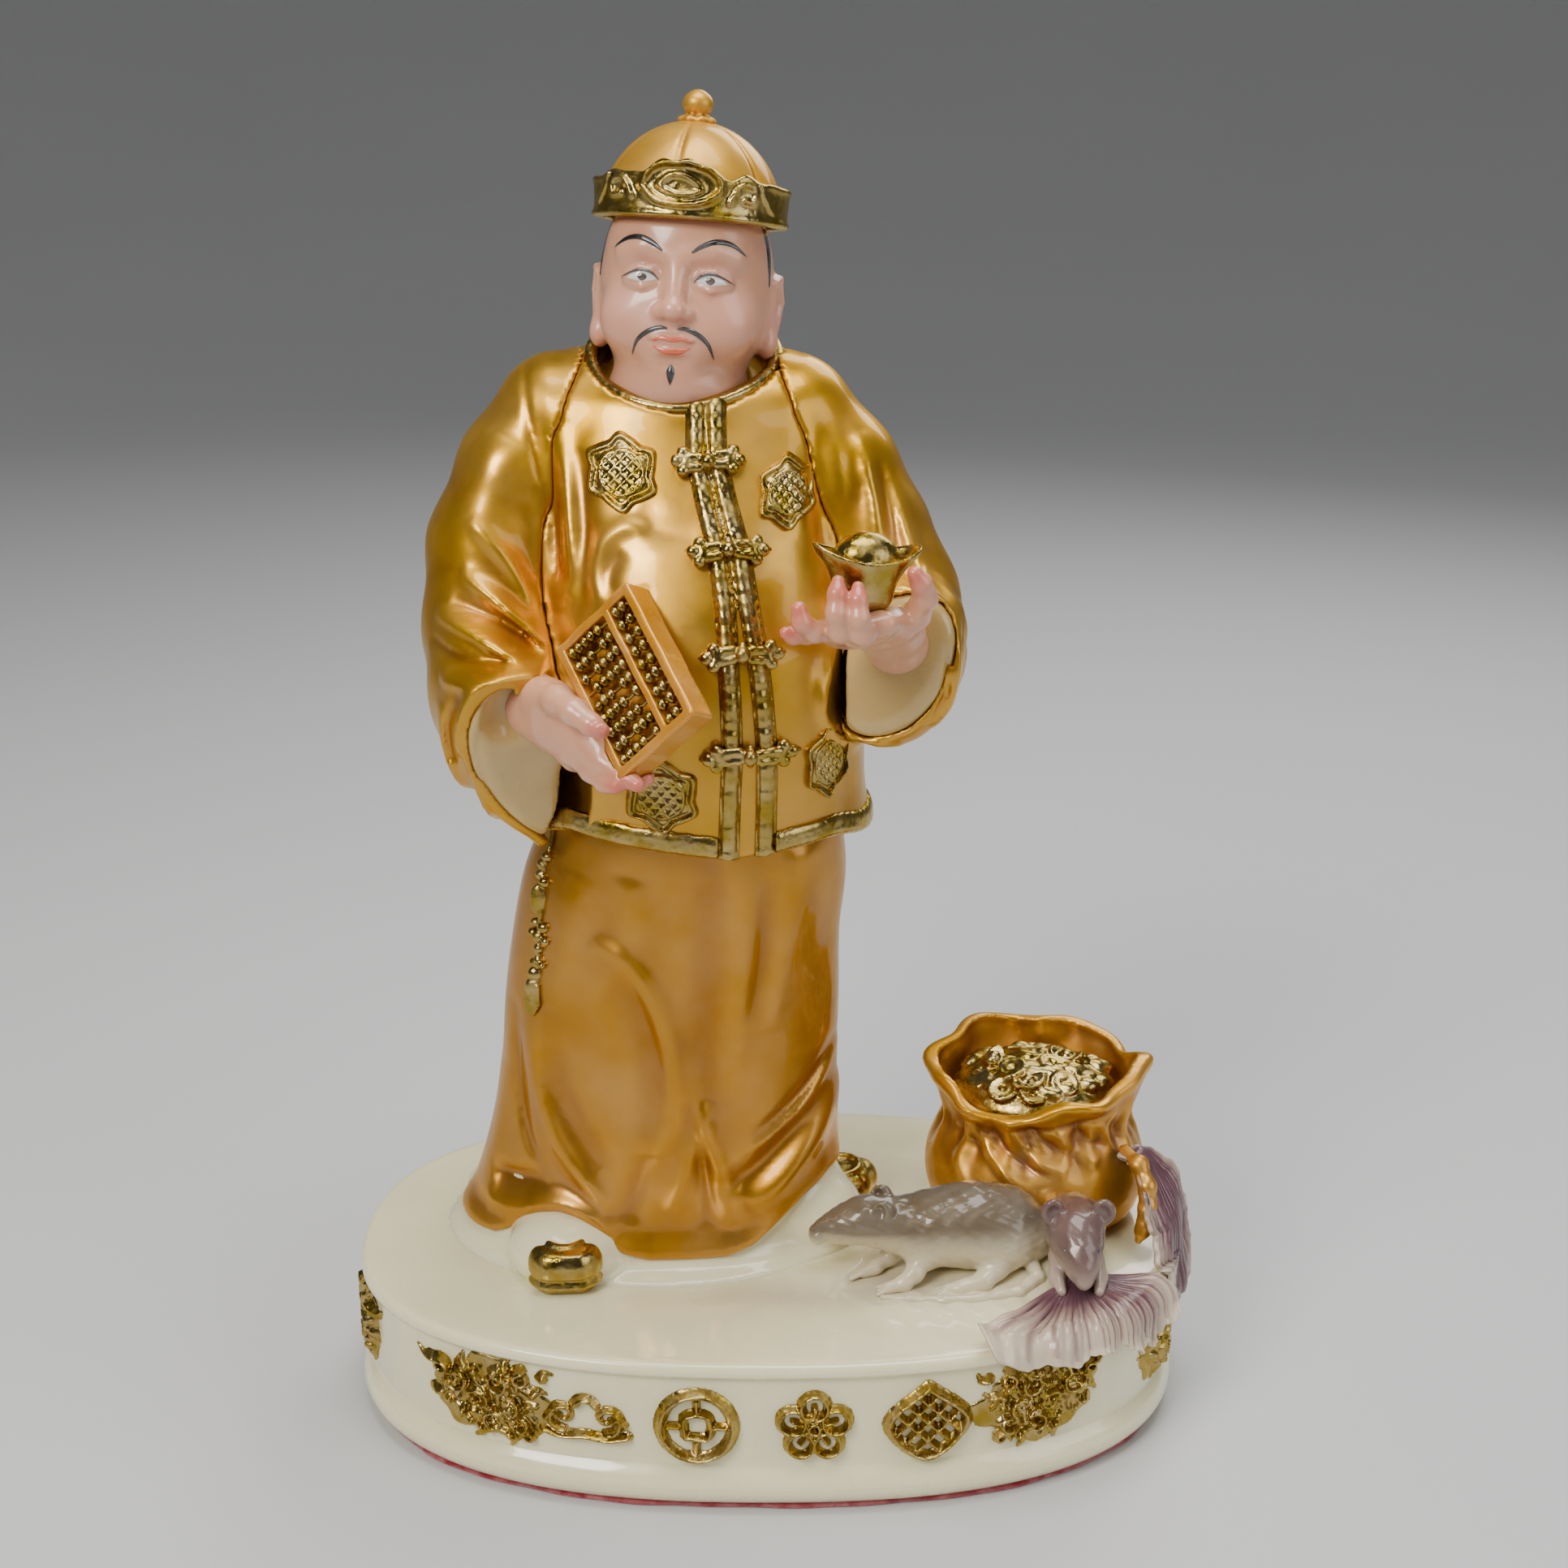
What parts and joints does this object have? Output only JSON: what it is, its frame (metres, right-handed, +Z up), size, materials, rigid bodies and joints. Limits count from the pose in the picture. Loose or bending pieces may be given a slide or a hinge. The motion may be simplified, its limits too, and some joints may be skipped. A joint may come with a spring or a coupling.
{
  "type": "wealth merchant figurine",
  "caption": "Standing robed merchant figurine with abacus and gold ingot on an oval base, with two rats, a money bag and a draped leaf.",
  "frame": {"origin": "centre of the felt underside of the oval base, on the resting plane", "axes": "+Z up through the figure, the figure faces -Y, +X is to the right of somebody who looks at its front"},
  "size_m": [0.2038, 0.1306, 0.3068],
  "materials": {
    "milk_resin": "milk-white cast resin, slightly translucent, polished and clear-lacquered",
    "red_felt": "red felt sheet",
    "robe_lacquer": "pearlescent gold-orange paint under clear gloss, darker in the folds",
    "jacket_lacquer": "pearlescent gold-orange paint under clear gloss",
    "cap_lacquer": "pearlescent orange paint under clear gloss",
    "bag_lacquer": "pearlescent gold-orange paint under clear gloss",
    "cream_cuff": "cream-white cast resin, glossy",
    "gold_leaf": "imitation gold leaf over cast relief, glossy, crinkled",
    "skin": "pink skin paint, satin gloss, rosy blush",
    "amber_resin": "translucent orange resin, glossy",
    "rat_glaze": "grey-brown fading to milk white under thick clear gloss",
    "rat_mauve": "mauve grey under thick clear gloss",
    "leaf_paint": "purple fading to pinkish white, glossy"
  },
  "bodies": {
    "root": {"base_plinth": "milk_resin", "felt_pad": "red_felt", "petticoat": "milk_resin", "gown": "robe_lacquer", "shoe_right": "gold_leaf", "shoe_left": "gold_leaf", "jacket": "jacket_lacquer", "collar": "gold_leaf", "sleeve_right": "jacket_lacquer", "sleeve_left": "jacket_lacquer", "cuff_right": "cream_cuff", "cuff_left": "cream_cuff", "placket": "gold_leaf", "hem_trim": "gold_leaf", "medallions": "gold_leaf", "frog_buttons": "gold_leaf", "head": "skin", "cap_crown": "cap_lacquer", "cap_band": "gold_leaf", "cap_finial": "cap_lacquer", "abacus_frame": "amber_resin", "abacus_rods": "gold_leaf", "abacus_beads": "gold_leaf", "hand_right": "skin", "hand_left": "skin", "ingot": "gold_leaf", "belt_pendant": "gold_leaf", "money_bag": "bag_lacquer", "bag_treasure": "gold_leaf", "bag_tail": "bag_lacquer", "rat_large": "rat_glaze", "rat_small": "rat_mauve", "leaf_front": "leaf_paint", "leaf_back": "leaf_paint", "scroll_left": "gold_leaf", "scroll_right": "gold_leaf", "scroll_end_left": "gold_leaf", "scroll_end_right": "gold_leaf", "base_motifs": "gold_leaf"}
  },
  "joints": []
}
